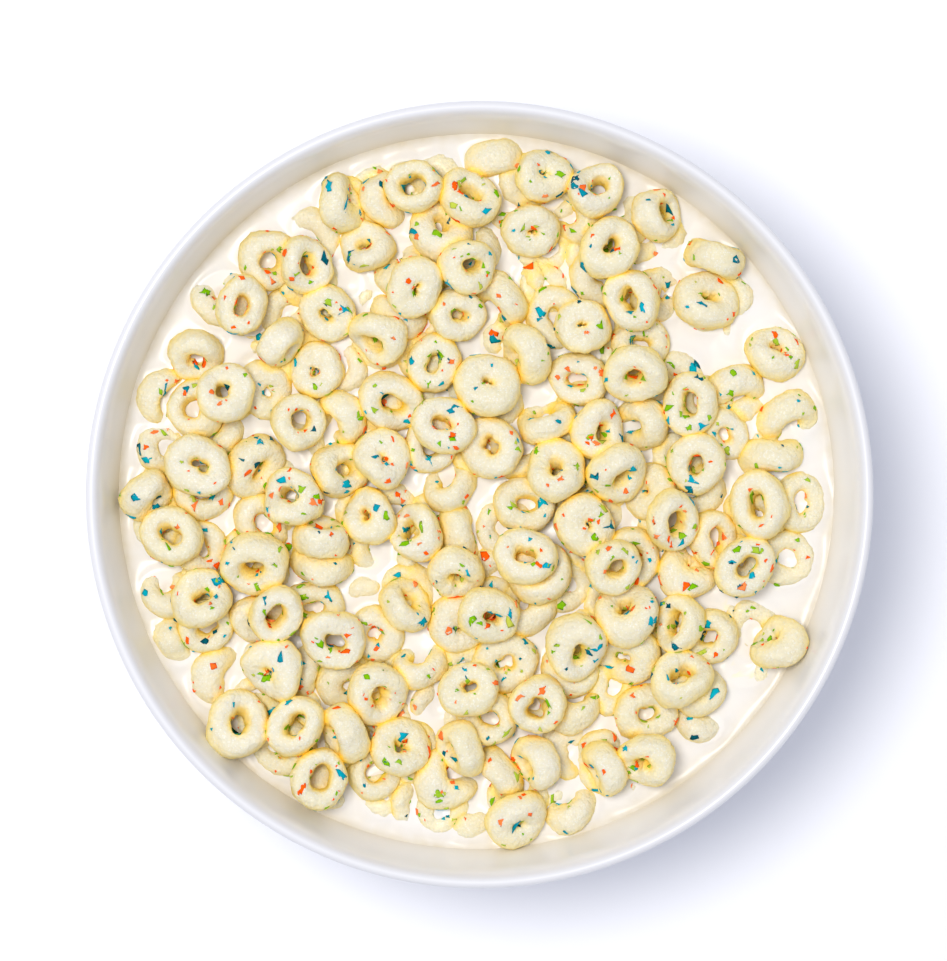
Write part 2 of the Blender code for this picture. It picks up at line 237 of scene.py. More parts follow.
def bowl_profile():
    """(radius, height) from the middle of the inside, over the lip and down to the middle of the foot's
    recess."""
    shares = (np.arange(1, WALL_STEPS + 1) / WALL_STEPS) ** WALL_CROWDING
    heights = FLOOR_HEIGHT + (BOWL_HEIGHT - FLOOR_HEIGHT) * shares
    inside = list(zip(inner_radius(heights), heights))
    outside = []
    for before, (radius, height), after in zip(inside, inside[1:], inside[2:]):
        up = (height - FLOOR_HEIGHT) / (BOWL_HEIGHT - FLOOR_HEIGHT)
        wall = FOOT_WALL + (RIM_WALL - FOOT_WALL) * up
        slope = math.atan2(after[1] - before[1], after[0] - before[0])
        outside.append((radius + wall * math.sin(slope), height - wall * math.cos(slope)))
    foot_top = FOOT_RADIUS + FOOT_FLARE
    outside = [(r, z) for r, z in outside if r > foot_top and z < BOWL_HEIGHT - LIP_ROUND - MM]
    inside = [
        (radius - LIP_THICKER * math.exp((height - BOWL_HEIGHT) / LIP_THICKER_DEPTH), height)
        for radius, height in inside
        if height < BOWL_HEIGHT - LIP_ROLL_DEPTH
    ]
    lip = []
    for i in range(LIP_STEPS + 1):
        angle = math.pi / 2 * i / LIP_STEPS
        height = BOWL_HEIGHT - LIP_ROLL_DEPTH * (1 - math.sin(angle))
        thicker = LIP_THICKER * math.exp((height - BOWL_HEIGHT) / LIP_THICKER_DEPTH)
        roll = (RIM_WALL - LIP_ROUND + LIP_THICKER) * (1 - math.cos(angle))
        lip.append((float(inner_radius(height)) - thicker + roll, height))
    for i in range(1, LIP_STEPS + 1):
        angle = math.pi / 2 * (1 - i / LIP_STEPS)
        lip.append((
            RIM_RADIUS - LIP_ROUND * (1 - math.cos(angle)),
            BOWL_HEIGHT - LIP_ROUND * (1 - math.sin(angle)),
        ))
    foot_inside = FOOT_RADIUS - FOOT_WIDTH
    crook = outside[0][1]
    foot = []
    for i in range(CROOK_STEPS + 1):
        angle = math.pi / 2 * i / CROOK_STEPS
        foot.append((
            foot_top + CROOK_START[0] - CROOK_RUN[0] * math.sin(angle),
            crook - CROOK_START[1] - CROOK_RUN[1] * (1 - math.cos(angle)),
        ))
    for middle, turn in ((FOOT_RADIUS - FOOT_EDGE, 0), (foot_inside + FOOT_EDGE, math.pi / 2)):
        for i in range(FOOT_EDGE_STEPS + 1):
            angle = turn + math.pi / 2 * i / FOOT_EDGE_STEPS
            foot.append((middle + FOOT_EDGE * math.cos(angle), FOOT_EDGE - FOOT_EDGE * math.sin(angle)))
    foot += [(foot_inside - inward, FOOT_RECESS - below) for inward, below in RECESS_EDGE]
    return [(0, FLOOR_HEIGHT)] + inside + lip + outside[::-1] + foot + [(0, FOOT_RECESS)]


def stoneware():
    """White gloss glaze with a faint waver in its surface, thinner over the lip, with a film of milk and
    grain where the milk meets the wall, darkened and tinted golden there as painted shade and a painted
    reflection of the cereal, and the foot's bare clay."""
    made, place, wire = finish("glazed_stoneware", {"IOR": 1.5, "Coat Roughness": 0.10})
    height = place.node("ShaderNodeSeparateXYZ", {}, {"Vector": place}, output=2)
    glazed = (height + place.noise(3 * MM, detail=0.0) * 0.3 * MM).ease(*GLAZE_STARTS)
    cloud = place.noise(18 * MM, detail=1.0)
    thin = (height + (cloud - 0.5) * 0.4 * MM).ease(*[BOWL_HEIGHT - depth for depth in GLAZE_THINS])
    white = (thin + (cloud - 0.5) * 0.15).held().mix(GLAZE_WHITE, GLAZE_THIN)
    # Painted shade and painted reflection of the cereal: the wall darkens and turns golden by the milk, over
    # the real film of milk and grain.
    film_and_shade = attribute(place, "milk_film_and_shade") * (0.45 + cloud * 0.5)
    tone = film_and_shade.held().mix(white, GLAZE_MILK_FILM_AND_SHADE)
    wire(
        Base_Color=glazed.mix(BARE_CLAY, tone),
        Roughness=0.75 - glazed * (0.45 - cloud * 0.04),
        Coat_Weight=glazed * 0.22,
        Normal=place.noise(7 * MM, detail=1.0).bump(0.05 * MM),
    )
    return made


points, faces = lathe(bowl_profile(), BOWL_STEPS)
inside = np.hypot(points[:, 0], points[:, 1]) < inner_radius(points[:, 2]) + WALL_SKIN
# How near each inside point is to the milk, for the film of milk and grain and the painted shade and
# reflection there.
milk_film_and_shade = inside * np.exp(-np.abs(points[:, 2] - MILK_LEVEL) / SPLASH_AND_SHADE_HEIGHT)
bowl = new_piece("stoneware_bowl", points, faces, stoneware(), (("milk_film_and_shade", milk_film_and_shade),))
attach(bowl, "root")
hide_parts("bowl")


# The cereal rings. Puffed grain dough, pushed out through a ring-shaped nozzle and cut, so that no two
# are alike: oval, thick on one side, some with the hole nearly shut. They float in the milk two or three
# deep, and each lies where the others let it.

RING_MIDDLE = 3.85 * MM
TUBE_HALF_WIDTH = 2.4 * MM
TUBE_HALF_HEIGHT = 3.2 * MM
RING_SIZES = (0.90, 1.10)

# Where the middles of the rings start, above the milk: those that float, those that rest on them and
# those on top. A ring that stands on edge starts lower, because its foot drops between the others
STARTS = {1: -0.8 * MM, 2: 2.2 * MM, 3: 5.4 * MM}
EDGE_DROP = 3 * MM

# The rings that float between the shown ones: how many, how far out and how far under the milk their
# middles may lie, how they lean, and how many spots are tried for each
FLOATING_RINGS = 84
FLOATING_REACH = 68 * MM
FLOATING_DEPTHS = (-0.6 * MM, 1.8 * MM)
FLOATING_LEANS = (0, 32, 6)
TRIES = 300
SEED = 11

# The rings that lie on the others or show best: x and y in millimetres from the bowl's middle,
# the layer, the heading that the open face leans towards, anticlockwise from +X, and the lean from lying
# flat, in degrees
SHOWN_RINGS = (
    (-42, 48, 2, -30, 15), (-35, 44.5, 3, 0, 28), (-48.5, 38, 3, 90, 25), (-53, 41.5, 2, 135, 30),
    (-32, 39, 2, -60, 10), (-27.5, 58.5, 3, 12, 62), (-57, 27.5, 2, -90, 35), (-40, 28, 3, -35, 62),
    (-19.5, 59.5, 2, 0, 45), (-12.5, 62.5, 3, 140, 18), (-3, 60, 2, 60, 20), (-6.5, 53, 2, 90, 12),
    (-3, 47.5, 3, 10, 26), (-11.5, 41.5, 3, 0, 10), (-15.5, 45, 2, 120, 15), (-20, 32.5, 3, 215, 40),
    (-17.5, 37, 2, 60, 66), (-8, 28, 2, 90, 12), (4.5, 38.5, 2, -90, 38), (10, 29.5, 3, 185, 72),
    (0.5, 22.5, 3, 60, 15), (11.5, 54, 2, -90, 15), (12, 65, 3, 40, 25), (5, 67, 2, -60, 52),
    (24, 62, 3, 90, 24), (21.5, 34.5, 3, 90, 12), (26.5, 51, 3, 90, 15), (35.5, 57, 3, 22, 58),
    (49.5, 47, 3, 50, 78), (48.5, 43, 2, 90, 18), (31, 40, 3, 150, 18), (37.5, 39, 2, 0, 25),
    (55.5, 33, 1, 0, 5), (33.5, 23.5, 3, 205, 28), (64.5, 23, 1, 15, 58), (34, 30, 2, 60, 20),
    (-64.5, 19.5, 2, -30, 48), (-51.5, 20.5, 3, 90, 20), (-56, 6.5, 3, 30, 6), (-67, 1.5, 3, -35, 58),
    (-57, -1, 2, -60, 15), (-62.5, -8, 3, 90, 20), (-45, 5.5, 2, -20, 38), (-39, -1.5, 3, 160, 30),
    (-37.5, 17.5, 2, 60, 15), (-28, 16, 2, 205, 34), (-29, 5, 2, 0, 20), (-20.5, 7, 3, 90, 24),
    (-22.5, -5, 3, 155, 24), (-33, -9, 3, 80, 62), (-33.5, -15.5, 2, -100, 76), (-46, -15, 3, 200, 14),
    (-57.5, -20.5, 3, 90, 28), (-18, 18.5, 2, -30, 30), (-6, 13.5, 3, 20, 10), (-9, 9.5, 2, -90, 14),
    (2.5, 11, 2, 0, 6), (16, 7.5, 3, 115, 28), (13.5, 13, 2, 120, 48), (9.5, 0, 2, 45, 10),
    (-13, -8.5, 3, 155, 36), (-3.5, -8, 2, 0, 58), (-4.5, -17.5, 3, -90, 48), (10, -13, 3, 100, 14),
    (12.5, -17, 2, -60, 14), (-14, -21.5, 2, 40, 48), (23.5, -7, 3, 20, 12), (25.5, 13, 3, 20, 34),
    (43.5, 19, 3, 180, 34), (54, 20.5, 2, -60, 58), (33.5, 14, 2, 225, 52), (59.5, 6.5, 2, -90, 58),
    (45, 6, 3, 220, 25), (29, 3.5, 3, -55, 42), (35, 0.5, 2, 150, 20), (58, -2.5, 3, 145, 24),
    (40.5, -6, 3, -10, 26), (46, -8, 2, 0, 24), (54, -15, 3, 140, 20), (64.5, 13, 1, 30, 10),
    (28.5, -16, 3, -70, 38), (33, -14.5, 2, -40, 15), (42.5, -19, 2, 55, 60), (64.5, -11, 1, 0, 8),
    (-63, -28.5, 2, 30, 62), (-42, -23.5, 3, -90, 34), (-46.5, -26.5, 2, -90, 20), (-55, -38.5, 2, 0, 74),
    (-41, -35.5, 3, -110, 32), (-35, -36.5, 2, 0, 50), (-29.5, -29.5, 3, 180, 15), (-48.5, -46.5, 3, 80, 30),
    (-40, -47.5, 3, 180, 30), (-26, -48.5, 3, 190, 66), (-33.5, -58, 3, 30, 8), (-29, -59.5, 2, 0, 22),
    (-20.5, -41.5, 3, -50, 34), (2.5, -25, 3, -50, 32), (-3.5, -29, 2, -110, 24), (-1.5, -40, 3, 180, 6),
    (-12, -33.5, 2, 100, 48), (-9, -45, 1, 0, 8), (-16.5, -52.5, 2, 90, 18), (-1.5, -53, 3, 190, 64),
    (-7, -59, 2, 35, 44), (5, -59.5, 2, 205, 52), (10.5, -56, 3, 220, 52), (16, -65.5, 2, 110, 46),
    (11, -43.5, 3, 180, 10), (22.5, -31.5, 3, -80, 40), (22.5, -44.5, 2, 55, 44), (27.5, -56, 3, 205, 64),
    (18, -52.5, 1, 0, 10), (-2.5, -66.5, 1, 90, 42), (30.5, -24.5, 3, 90, 26), (40.5, -27.5, 2, 200, 20),
    (41, -37.5, 3, 60, 48), (44.5, -46.5, 1, 0, 6), (53, -36, 1, 90, 10), (61.5, -32, 3, 145, 62),
    (54.5, -24.5, 1, 90, 14), (33.5, -53.5, 3, 185, 22),
)

# Spots where open milk shows between the rings: x, y and radius, in millimetres
OPEN_MILK = (
    (-43, 58, 6), (-62, 34, 5), (-28, 33, 3), (-5, 69, 4), (2, 71, 3), (15, 27, 3), (40, 48, 6),
    (45, 33, 4), (50, 27, 3), (60, 42, 5), (-14, 2, 4), (1, -5, 3), (-68, -14, 5), (-48, -1, 3),
    (-62, -38, 5), (-50, -33, 4), (-15, -37, 3), (-30, -44, 3), (20, -24, 3), (18, -14, 3), (47, -16, 3),
    (68, -20, 5), (58, -45, 7), (50, -55, 6), (20, -60, 3), (-7, -52, 3), (38, -62, 5), (12, -35, 3),
    (52, -5, 3), (69, 8, 3), (-15, 52, 3), (-48, 50, 3),
)

# How the heap settles: in small steps, with each ring as two rows of beads that push the others' beads
# apart, and with each ring drawn a little back to where it started until the last steps
SETTLE_STEPS = 260
BEADS_ROUND = 8
BEAD_RADIUS = 2.35 * MM
BEAD_RISE = 0.75 * MM
SINK_STEP = 0.05 * MM
WALL_CLEARANCE = 0.5 * MM
PUSH_SHARE = 1.6
HOME_PULL = 0.05
HOME_STEPS = 0.9 * SETTLE_STEPS

# The rings that hang in the milk under the others: how many, how deep their middles lie, how they lean,
# how far out they may lie, how far one may reach into a spot of open milk, and the height over the milk
# above which another ring takes up no room there. The last two keep their widest places, a little lower,
# off the wall
SUNK_RINGS = 84
SUNK_DEPTHS = (0.9 * MM, 2.2 * MM)
SUNK_LEANS = (0, 10, 3)
SUNK_REACH = 69.5 * MM
SUNK_SHOWS = 2.0 * MM
SUNK_UNDER = 2.5 * MM
SUNK_LOWER = 2.0 * MM
WIDEST_RING = 7.2 * MM


def turn_to(heading, lean):
    """The rotation that leans a flat ring by an angle towards a heading."""
    return np.array(Matrix.Rotation(heading, 3, "Z") @ Matrix.Rotation(lean, 3, "Y"))


def starting_rings():
    """(middles, rotations, sizes) of the rings before they settle: the shown ones, then the floating
    ones."""
    draw = random.Random(SEED)
    middles, turns = [], []
    for x, y, layer, heading, lean in SHOWN_RINGS:
        drop = EDGE_DROP * math.sin(math.radians(lean))
        middles.append((x * MM, y * MM, MILK_LEVEL + STARTS[layer] - drop))
        turns.append(turn_to(math.radians(heading), math.radians(lean)))
    open_milk = [((x * MM, y * MM), radius * MM + RING_MIDDLE) for x, y, radius in OPEN_MILK]
    for _ in range(FLOATING_RINGS):
        best, best_room = None, 0
        for _ in range(TRIES):
            radius = FLOATING_REACH * math.sqrt(draw.random())
            angle = draw.uniform(0, math.tau)
            spot = (radius * math.cos(angle), radius * math.sin(angle))
            room = min(math.dist(spot, middle[:2]) for middle in middles)
            if room > best_room and all(math.dist(spot, place) > reach for place, reach in open_milk):
                best, best_room = spot, room
        middles.append((*best, MILK_LEVEL - draw.uniform(*FLOATING_DEPTHS)))
        turns.append(turn_to(draw.uniform(0, math.tau), math.radians(draw.triangular(*FLOATING_LEANS))))
    sizes = [draw.uniform(*RING_SIZES) for _ in middles]
    return np.array(middles), np.array(turns), np.array(sizes)


def settle(middles, turns, sizes):
    """Parts the rings, keeps them off the wall and lets a loose one sink until something carries it."""
    home, home_turns = middles.copy(), turns.copy()
    angles = np.arange(BEADS_ROUND) * math.tau / BEADS_ROUND
    across, along = RING_MIDDLE * np.cos(angles), RING_MIDDLE * np.sin(angles)
    layer = np.stack([across, along, np.full(BEADS_ROUND, BEAD_RISE)], -1)
    ring_beads = np.concatenate([layer, layer * (1, 1, -1)]) * sizes[:, None, None]
    radii = BEAD_RADIUS * sizes
    reach = 2 * (RING_MIDDLE + BEAD_RADIUS) * sizes.max()
    for step in range(SETTLE_STEPS):
        arms = ring_beads @ turns.transpose(0, 2, 1)
        spots = middles[:, None] + arms
        between = np.linalg.norm(middles[:, None] - middles[None], axis=-1)
        first, second = np.nonzero(np.triu(between < reach, 1))
        apart = spots[first][:, :, None] - spots[second][:, None]
        distance = np.linalg.norm(apart, axis=-1) + 1e-9
        depth = np.maximum((radii[first] + radii[second])[:, None, None] - distance, 0)
        push = apart * (depth / distance / 2)[..., None]
        pushes = np.zeros_like(spots)
        touches = np.zeros(spots.shape[:2])
        np.add.at(pushes, first, push.sum(2))
        np.add.at(pushes, second, -push.sum(1))
        np.add.at(touches, first, (depth > 0).sum(2))
        np.add.at(touches, second, (depth > 0).sum(1))
        outward = np.linalg.norm(spots[..., :2], axis=-1)
        room = inner_radius(spots[..., 2]) - WALL_CLEARANCE - radii[:, None]
        over = np.maximum(outward - room, 0)
        pushes[..., :2] -= spots[..., :2] * (over / outward)[..., None]
        touches += over > 0
        count = np.maximum(touches.sum(1), 1)[:, None]
        twist = np.cross(arms, pushes).sum(1) / count / (RING_MIDDLE**2)
        middles = middles + pushes.sum(1) / count * PUSH_SHARE
        loose = (touches.sum(1) == 0) & (middles[:, 2] > MILK_LEVEL)
        home[loose, 2] -= SINK_STEP
        if step < HOME_STEPS:
            middles = middles + (home - middles) * HOME_PULL
            turns = turns + (home_turns - turns) * HOME_PULL
        turns = turns + np.cross(twist[:, None], turns.transpose(0, 2, 1)).transpose(0, 2, 1)
        left, _, right = np.linalg.svd(turns)
        turns = left @ right
    return middles, turns


def sunk_rings(middles, draw):
    """(middles, rotations, sizes) of the rings that hang in the milk wherever the others leave room."""
    open_milk = [((x * MM, y * MM), radius * MM + SUNK_SHOWS) for x, y, radius in OPEN_MILK]
    taken = [tuple(middle[:2]) for middle in middles if middle[2] < MILK_LEVEL + SUNK_UNDER]
    placed = []
    for _ in range(SUNK_RINGS):
        best, best_room = (0.0, 0.0), 0
        for _ in range(TRIES):
            radius = SUNK_REACH * math.sqrt(draw.random())
            angle = draw.uniform(0, math.tau)
            spot = (radius * math.cos(angle), radius * math.sin(angle))
            room = min(math.dist(spot, other) for other in taken)
            if room > best_room and all(math.dist(spot, place) > reach for place, reach in open_milk):
                best, best_room = spot, room
        taken.append(best)
        placed.append((*best, MILK_LEVEL - draw.uniform(*SUNK_DEPTHS)))
    leans = []
    for _ in placed:
        heading = draw.uniform(0, math.tau)
        leans.append(turn_to(heading, math.radians(draw.triangular(*SUNK_LEANS))))
    sizes = np.array([draw.uniform(*RING_SIZES) for _ in placed])
    placed = np.array(placed)
    reach = inner_radius(placed[:, 2] - SUNK_LOWER) - WIDEST_RING * sizes
    placed[:, :2] *= np.minimum(reach / np.hypot(placed[:, 0], placed[:, 1]), 1)[:, None]
    return placed, np.array(leans), sizes


# Every ring's own shape: the radius of its hole in millimetres, how many holes are nearly shut, its
# height, how oval it is, how far it is bent, how much thicker one side is, the creases in its hole and
# its lumps
SHAPE_SEED = 5
HOLE_RADII = (0.7, 1.55, 2.2)
SHUT_SHARE = 0.12
SHUT_HOLE = 0.25 * MM
HEIGHT_SHARES = (0.92, 1.06)
OVALS = (0.03, 0.15)
BEND = 0.35 * MM
BEND_POWER = 1.5
THICK_SIDES = (0.02, 0.14)
THICK_TO_HEIGHT = 0.6
PINCH_COUNTS = (2, 5)
PINCHES = (0.03, 0.14)
LUMP_SIZES = ((6.5 * MM, 0.13 * MM), (2.6 * MM, 0.075 * MM), (1.2 * MM, 0.040 * MM))
LUMP_SPREAD = 100 * MM
WAVES = 14
WAVE_LENGTHS = (0.75, 1.3)

# How square the tube is, outside and in the hole: 1 is round and 0 a rectangle
OUTER_SQUARE = 0.90
HOLE_SQUARE = 0.78

# How near another ring counts as touching, which places the painted golden shade between the rings, and
# the rings that are near enough to be asked
CLOSE_LENGTH = 1.0 * MM
CLOSE_RINGS = 15 * MM

middles, turns, sizes = starting_rings()
middles, turns = settle(middles, turns, sizes)
sunk_middles, sunk_turns, sunk_sizes = sunk_rings(middles, random.Random(SEED))
middles = np.concatenate([middles, sunk_middles])
turns = np.concatenate([turns, sunk_turns])
sizes = np.concatenate([sizes, sunk_sizes])
RING_COUNT = len(middles)
shape_draw = np.random.default_rng(SHAPE_SEED)
outer_radius = (RING_MIDDLE + TUBE_HALF_WIDTH) * sizes
hole_radius = shape_draw.triangular(*HOLE_RADII, RING_COUNT) * MM
shut = shape_draw.random(RING_COUNT) < SHUT_SHARE
hole_radius[shut] = SHUT_HOLE
tube_middle = (outer_radius + hole_radius) / 2
tube_width = (outer_radius - hole_radius) / 2
tube_height = TUBE_HALF_HEIGHT * sizes * shape_draw.uniform(*HEIGHT_SHARES, RING_COUNT)
oval = shape_draw.uniform(*OVALS, RING_COUNT)
oval_turn = shape_draw.uniform(0, math.tau, RING_COUNT)
bend = shape_draw.normal(0, BEND, RING_COUNT)
bend_turn = shape_draw.uniform(0, math.tau, RING_COUNT)
thick_side = shape_draw.uniform(*THICK_SIDES, RING_COUNT)
thick_turn = shape_draw.uniform(0, math.tau, RING_COUNT)
pinch_count = shape_draw.integers(*PINCH_COUNTS, RING_COUNT)
pinch_turn = shape_draw.uniform(0, math.tau, RING_COUNT)
pinch = shape_draw.uniform(*PINCHES, RING_COUNT)
lump_offset = shape_draw.uniform(-1, 1, (RING_COUNT, 3)) * LUMP_SPREAD
wave_sets = []
for lump_size, lump_height in LUMP_SIZES:
    heading = shape_draw.normal(size=(WAVES, 3))
    heading /= np.linalg.norm(heading, axis=1, keepdims=True)
    number = heading * math.tau / lump_size * shape_draw.uniform(*WAVE_LENGTHS, (WAVES, 1))
    wave_sets.append((number, shape_draw.uniform(0, math.tau, WAVES), lump_height * math.sqrt(2 / WAVES)))
own_tone = shape_draw.uniform(0, 1, RING_COUNT)


def ring_surface(ring, round_angle, tube_angle, proud=0.0):
    """Places on the rings and which way they face. ring is each place's ring, round_angle runs round the
    ring and tube_angle round its tube, 0 at the outside and a quarter turn at the top. proud lifts a
    place off it."""
    inward = (1 - np.cos(tube_angle)) / 2
    thick = 1 + thick_side[ring] * np.cos(round_angle - thick_turn[ring])
    creased = 1 + pinch[ring] * np.cos(pinch_count[ring] * round_angle - pinch_turn[ring]) * inward**2
    width = tube_width[ring] * thick * creased
    height = tube_height[ring] * (1 + (thick - 1) * THICK_TO_HEIGHT)
    stretch = 1 + oval[ring] * np.cos(2 * (round_angle - oval_turn[ring]))
    outer = np.cos(tube_angle) > 0
    squareness = np.where(outer, OUTER_SQUARE, HOLE_SQUARE)
    along = np.sign(np.cos(tube_angle)) * np.abs(np.cos(tube_angle)) ** squareness
    upward = np.sign(np.sin(tube_angle)) * np.abs(np.sin(tube_angle)) ** OUTER_SQUARE
    out = tube_middle[ring] * stretch + width * along
    warp = bend[ring] * np.cos(2 * (round_angle - bend_turn[ring])) * (out / RING_MIDDLE) ** BEND_POWER
    local = np.stack([out * np.cos(round_angle), out * np.sin(round_angle), height * upward + warp], -1)
    facing_out = np.cos(tube_angle) / width
    facing_up = np.sin(tube_angle) / height
    length = np.hypot(facing_out, facing_up)
    normal = np.stack([
        facing_out / length * np.cos(round_angle),
        facing_out / length * np.sin(round_angle),
        facing_up / length,
    ], -1)
    lift = np.zeros(len(local)) + proud
    for number, phase, lump_height in wave_sets:
        lift += np.sin((local + lump_offset[ring]) @ number.T + phase).sum(-1) * lump_height
    local = local + normal * lift[:, None]
    world = np.einsum("nij,nj->ni", turns[ring], local) + middles[ring]
    return world, np.einsum("nij,nj->ni", turns[ring], normal)


def gap_to_ring(places, ring):
    """About how far places are outside a ring's tube, in metres."""
    local = (places - middles[ring]) @ turns[ring]
    out = np.hypot(local[:, 0], local[:, 1]) - tube_middle[ring]
    shares = np.hypot(out / tube_width[ring], local[:, 2] / tube_height[ring])
    return np.maximum(shares - 1, 0) * tube_width[ring]


def closeness(points, which):
    """How near each point of the rings in a list comes to another ring: 1 where they touch."""
    found = np.zeros(len(points))
    rows = found.reshape(len(which), -1)
    places = points.reshape(len(which), -1, 3)
    for row, ring in enumerate(which):
        apart = np.linalg.norm(middles - middles[ring], axis=1)
        for other in np.nonzero((apart < CLOSE_RINGS) & (apart > 0))[0]:
            rows[row] = np.maximum(rows[row], np.exp(-gap_to_ring(places[row], other) / CLOSE_LENGTH))
    return found


def ring_piece(name, which, round_steps, tube_steps, material):
    """One mesh of all the rings in a list, with numbers on each point: how far it lies in the hole, how
    much it faces up, how near another ring is and the tone of its ring."""
    around = np.arange(round_steps) * math.tau / round_steps
    tube = np.arange(tube_steps) * math.tau / tube_steps
    ring, round_angle, tube_angle = [
        part.ravel() for part in np.meshgrid(which, around, tube, indexing="ij")
    ]
    points, normals = ring_surface(ring, round_angle, tube_angle)
    index = np.arange(len(points)).reshape(len(which), round_steps, tube_steps)
    after_round = np.roll(index, -1, axis=1)
    quads = np.stack([index, after_round, np.roll(after_round, -1, axis=2), np.roll(index, -1, axis=2)], -1)
    numbers = (
        ("in_hole", np.clip(-np.cos(tube_angle), 0, 1)),
        ("faces_up", np.clip(normals[:, 2], 0, 1)),
        ("close", closeness(points, which)),
        ("own_tone", own_tone[ring]),
    )
    return new_piece(name, points, quads.reshape(-1, 4).tolist(), material, numbers)


# The colours of the grain, from its dry top to the golden painted shade at its side, in its hole and between
# the rings, which stands for shade and light shining through the grain and partly for milk soaking it, and
# of the milk's film on it
GRAIN_CREAM = (0.728, 0.676, 0.475, 1)
GRAIN_PALE = (0.738, 0.700, 0.558, 1)
GRAIN_SUGAR = (0.820, 0.810, 0.750, 1)
GRAIN_SHADED_GOLD = (0.980, 0.790, 0.270, 1)
GRAIN_SOAKED_SHADE = (0.998, 0.690, 0.030, 1)
MILK_FILM = (0.880, 0.800, 0.560, 1)
CRYSTAL_SIZE = 0.42 * MM
PIT_DEPTH = 0.34 * MM
WET_HEIGHTS = (MILK_LEVEL + 0.3 * MM, MILK_LEVEL + 2.4 * MM)
TOP_STEPS = (40, 20)
LOWER_STEPS = (36, 18)


def puffed_grain():
    """Puffed grain: pale and dusted with fine sugar on top, golden at the side, deeper in the hole and
    between the rings as painted shade with the glow of light through the grain, partly milk soaking between
    the rings, and under a film of milk near the surface."""
    made, place, wire = finish("puffed_grain", {
        "Specular IOR Level": 0.18,
        "Coat Roughness": 0.25,
        "Subsurface Weight": 0.40,
        "Subsurface Radius": (1.0, 0.62, 0.24),
        "Subsurface Scale": 2.6 * MM,
    })
    cloud = place.noise(3.5 * MM, detail=1.0)
    pits = place.noise(0.9 * MM, detail=1.0, roughness=0.65)
    crystal = place.node("ShaderNodeTexVoronoi", {}, {"Scale": 1 / CRYSTAL_SIZE, "Vector": place})
    chosen = Signal(crystal.socket.node.outputs["Color"]).ease(0.35, 0.7)
    sugar_dust = chosen * (1 - crystal.ease(0.15, 0.6))
    tone = (attribute(place, "own_tone") * 0.7 + cloud * 0.6 - 0.15).held()
    hole = attribute(place, "in_hole").ease(0.45, 1.0)
    on_top = (attribute(place, "faces_up") + (cloud - 0.5) * 0.3).ease(0.05, 0.98)
    # Painted shade: golden where another ring is near, partly milk soaking there.
    soaked_and_shade = (attribute(place, "close") + (cloud - 0.5) * 0.4).ease(0.15, 0.95)
    # Where the pale top shows, and where the painted golden shade takes over.
    unshaded_top = (on_top * (1 - hole * 0.6) * (1 - soaked_and_shade * 0.7) + (pits - 0.5) * 0.3).held()
    # Painted shade: the side and the hole golden, as light shining through the grain would make them.
    shaded_side = (soaked_and_shade * 0.8 + hole * 0.6).held().mix(GRAIN_SHADED_GOLD, GRAIN_SOAKED_SHADE)
    grain_with_shade = unshaded_top.mix(shaded_side, tone.mix(GRAIN_CREAM, GRAIN_PALE))
    dusted = (sugar_dust * unshaded_top * 0.75).mix(grain_with_shade, GRAIN_SUGAR)
    height = place.node("ShaderNodeSeparateXYZ", {}, {"Vector": place}, output=2)
    wet = (1 - (height + (cloud - 0.5) * 2.0 * MM).ease(*WET_HEIGHTS)) * (1 - hole)
    wire(
        Base_Color=(wet * on_top * (1 - soaked_and_shade * 0.8) * 0.8).mix(dusted, MILK_FILM),
        Roughness=0.62 - wet * 0.28,
        Coat_Weight=(sugar_dust * 0.3 + wet * on_top * 0.4).held(),
        Normal=pits.bump(PIT_DEPTH),
    )
    return made


heap_finish = puffed_grain()
on_top = np.arange(len(SHOWN_RINGS))
afloat = np.arange(len(SHOWN_RINGS), RING_COUNT - SUNK_RINGS)
sunk = np.arange(RING_COUNT - SUNK_RINGS, RING_COUNT)
top_rings = ring_piece("rings_on_top", on_top, *TOP_STEPS, heap_finish)
floating_rings = ring_piece("floating_rings", afloat, *LOWER_STEPS, heap_finish)
hanging_rings = ring_piece("rings_in_the_milk", sunk, *LOWER_STEPS, heap_finish)
for rings in (top_rings, floating_rings, hanging_rings):
    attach(rings, "root")
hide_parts("cereal")


# The flecks. Chips of coloured sugar dough that were mixed into the grain before it was puffed: teal,
# green and orange, angular, of all sizes up to about three millimetres, and almost flush with the rings'
# surface.

# Of each kind: how many, the least and most radius in millimetres, its usual colour and the one at its
# far end
FLECK_KINDS = {
    "teal_flecks": (1300, (0.40, 1.50), (0.000, 0.390, 0.520, 1), (0.000, 0.070, 0.100, 1)),
    "green_flecks": (2150, (0.34, 1.20), (0.185, 0.470, 0.000, 1), (0.560, 0.600, 0.080, 1)),
    "orange_flecks": (2200, (0.30, 1.05), (1.000, 0.110, 0.000, 1), (0.985, 0.300, 0.090, 1)),
}
SMALL_POWER = 1.8
USUAL_POWER = 2.6
FLECK_SEED = 23

# A fleck's outline: its length over its width, and its corners, each shifted round it by up to a share of
# a turn and drawn in or out
FLECK_LENGTHS = (0.9, 1.4)
FLECK_CORNERS = 7
CORNER_SHIFT = 0.35
CORNER_REACH = (0.55, 1.25)

# How far a fleck stands out, how far round the underside it may lie, as an angle, and the least radius that
# the ring counts as having under it
FLECK_LIFT = 0.055 * MM
UNDER_RING = 0.9
LEAST_ROUND = 0.9 * MM

# A fleck's rounds of points: how far out of its middle, and how high in shares of its lift. The last is
# its root
FLECK_ROUNDS = ((0, 1.0), (0.6, 1.0), (1, 0.45), (0, -6.0))


def sugar(name, main, other):
    """Dyed sugar dough, nearly matt, its tone from one end to the other of its kind."""
    made, place, wire = finish(name, {"Specular IOR Level": 0.05})
    cloud = place.noise(0.4 * MM, detail=0.0)
    tone = (attribute(place, "own_tone") + (cloud - 0.5) * 0.3).held()
    wire(Base_Color=tone.mix(main, other), Roughness=0.45 + cloud * 0.25)
    return made


